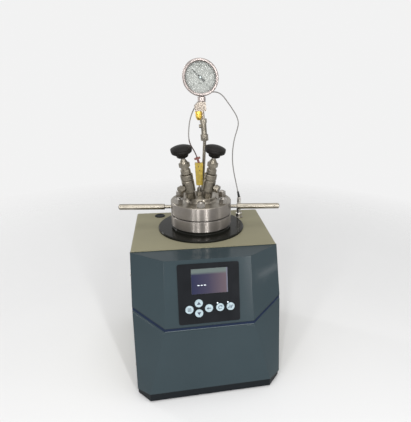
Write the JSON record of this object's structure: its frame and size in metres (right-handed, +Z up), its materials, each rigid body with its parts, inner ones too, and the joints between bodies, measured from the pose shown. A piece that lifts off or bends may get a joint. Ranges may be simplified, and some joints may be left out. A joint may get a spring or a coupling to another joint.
{
  "type": "hydrothermal micro-reactor",
  "caption": "Small stainless pressure vessel with a bolted lid, needle valves, gauge and thermocouple, standing in its own heater, stirrer and controller base.",
  "frame": {"origin": "on the table under the middle of the base, at the underside of the feet", "axes": "+Z up, front with the control panel towards -Y, right-hand handle towards +X"},
  "size_m": [0.3242, 0.287, 0.591],
  "materials": {
    "foot_rubber": "matte",
    "black_moulding": "satin",
    "beige_paint": "satin",
    "slate_cover": "satin",
    "navy_strip": "gloss",
    "panel_black": "satin",
    "display": "gloss",
    "board_green": "matte",
    "rocker_red": "gloss",
    "fastener_steel": "satin",
    "collar_black": "satin",
    "well_aluminium": "satin",
    "band_steel": "satin",
    "insulation": "matte",
    "motor_paint": "satin",
    "vessel_steel": "brushed",
    "ptfe_white": "satin",
    "gasket_dark": "matte",
    "fitting_steel": "satin",
    "tc_yellow": "satin",
    "relief_brass": "satin",
    "gauge_steel": "satin",
    "gauge_glass": "clear",
    "dial_white": "matte",
    "pointer_black": "satin",
    "cable_grey": "satin",
    "key_white": "satin",
    "knob_black": "satin"
  },
  "bodies": {
    "base": {"rubber_feet": "foot_rubber", "base_tray": "black_moulding", "case_wrap": "beige_paint", "front_cover": "slate_cover", "accent_strip": "navy_strip", "control_panel": "panel_black", "display_module": "display", "keypad_board": "board_green", "rear_panel": "beige_paint", "mains_inlet": "black_moulding", "case_screws": "fastener_steel", "hole_plug": "black_moulding", "sensor_socket": "fastener_steel", "heater_collar": "collar_black", "heater_well": "well_aluminium", "heater_band": "band_steel", "insulation_jacket": "insulation", "motor_bracket": "fastener_steel", "stirrer_motor": "motor_paint", "vessel": "vessel_steel", "liner": "ptfe_white", "gasket": "gasket_dark", "lid": "vessel_steel", "lid_bolts": "fastener_steel", "handle_left": "vessel_steel", "handle_right": "vessel_steel", "thermocouple_probe": "fastener_steel", "probe_gland": "fitting_steel", "tc_socket": "tc_yellow", "tc_plug": "tc_yellow", "riser_tube": "fitting_steel", "riser_union": "fitting_steel", "gauge_block": "fitting_steel", "relief_cap": "relief_brass", "gauge_case": "gauge_steel", "gauge_bezel": "gauge_steel", "gauge_glass": "gauge_glass", "gauge_dial": "dial_white", "sensor_cable": "cable_grey", "cable_connector": "fastener_steel", "valve_left_body": "fitting_steel", "valve_left_bonnet": "fitting_steel", "valve_left_cap": "fitting_steel", "valve_right_body": "fitting_steel", "valve_right_bonnet": "fitting_steel", "valve_right_cap": "fitting_steel"},
    "left_stem": {"valve_left_stem": "fastener_steel"},
    "left_knob": {"valve_left_knob": "knob_black"},
    "right_stem": {"valve_right_stem": "fastener_steel"},
    "right_knob": {"valve_right_knob": "knob_black"},
    "pointer": {"gauge_pointer": "pointer_black"},
    "rocker": {"power_rocker": "rocker_red"},
    "stirrer": {"stirrer_magnet": "fastener_steel"},
    "bar": {"stir_bar": "ptfe_white"},
    "key_set_cap": {"key_set": "key_white"},
    "key_up_cap": {"key_up": "key_white"},
    "key_down_cap": {"key_down": "key_white"},
    "key_mode_cap": {"key_mode": "key_white"},
    "key_stir_cap": {"key_stir": "key_white"},
    "key_heat_cap": {"key_heat": "key_white"}
  },
  "joints": [
    {"name": "left_stem_lift", "type": "slide", "parent": "base", "child": "left_stem", "axis": [-0.1584, -0.1374, 0.9778], "range_m": [0, 0.003]},
    {"name": "left_knob_turn", "type": "hinge", "parent": "left_stem", "child": "left_knob", "pos_m": [-0.0208, 0.0395, 0.333], "axis": [-0.1584, -0.1374, 0.9778], "range_deg": [0, 1080]},
    {"name": "right_stem_lift", "type": "slide", "parent": "base", "child": "right_stem", "axis": [0.1584, -0.1374, 0.9778], "range_m": [0, 0.003]},
    {"name": "right_knob_turn", "type": "hinge", "parent": "right_stem", "child": "right_knob", "pos_m": [0.0108, 0.0395, 0.333], "axis": [0.1584, -0.1374, 0.9778], "range_deg": [0, 1080]},
    {"name": "key_set_press", "type": "slide", "parent": "base", "child": "key_set_cap", "axis": [0, 0.9677, -0.252], "range_m": [0, 0.001], "stiffness_N_per_m": 300, "springref_m": -0.0002},
    {"name": "key_up_press", "type": "slide", "parent": "base", "child": "key_up_cap", "axis": [0, 0.9677, -0.252], "range_m": [0, 0.001], "stiffness_N_per_m": 300, "springref_m": -0.0002},
    {"name": "key_down_press", "type": "slide", "parent": "base", "child": "key_down_cap", "axis": [0, 0.9677, -0.252], "range_m": [0, 0.001], "stiffness_N_per_m": 300, "springref_m": -0.0002},
    {"name": "key_mode_press", "type": "slide", "parent": "base", "child": "key_mode_cap", "axis": [0, 0.9677, -0.252], "range_m": [0, 0.001], "stiffness_N_per_m": 300, "springref_m": -0.0002},
    {"name": "key_stir_press", "type": "slide", "parent": "base", "child": "key_stir_cap", "axis": [0, 0.9677, -0.252], "range_m": [0, 0.001], "stiffness_N_per_m": 300, "springref_m": -0.0002},
    {"name": "key_heat_press", "type": "slide", "parent": "base", "child": "key_heat_cap", "axis": [0, 0.9677, -0.252], "range_m": [0, 0.001], "stiffness_N_per_m": 300, "springref_m": -0.0002},
    {"name": "pointer_turn", "type": "hinge", "parent": "base", "child": "pointer", "pos_m": [0.004, 0.0725, 0.5575], "axis": [0, 1, 0], "range_deg": [-90, 180], "stiffness_Nm_per_rad": 0.0005},
    {"name": "rocker_tip", "type": "hinge", "parent": "base", "child": "rocker", "pos_m": [0.078, 0.1375, 0.074], "axis": [1, 0, 0], "range_deg": [0, 18]},
    {"name": "stirrer_spin", "type": "hinge", "parent": "base", "child": "stirrer", "pos_m": [0, 0.0525, 0.138], "axis": [0, 0, 1], "continuous": true},
    {"name": "bar_spin", "type": "hinge", "parent": "base", "child": "bar", "pos_m": [0, 0.0525, 0.1673], "axis": [0, 0, 1], "continuous": true}
  ],
  "couplings": [
    {"joint": "left_stem_lift", "follows": "left_knob_turn", "m_per_rad": 0.00015915},
    {"joint": "right_stem_lift", "follows": "right_knob_turn", "m_per_rad": 0.00015915},
    {"joint": "bar_spin", "follows": "stirrer_spin", "ratio": 1}
  ]
}
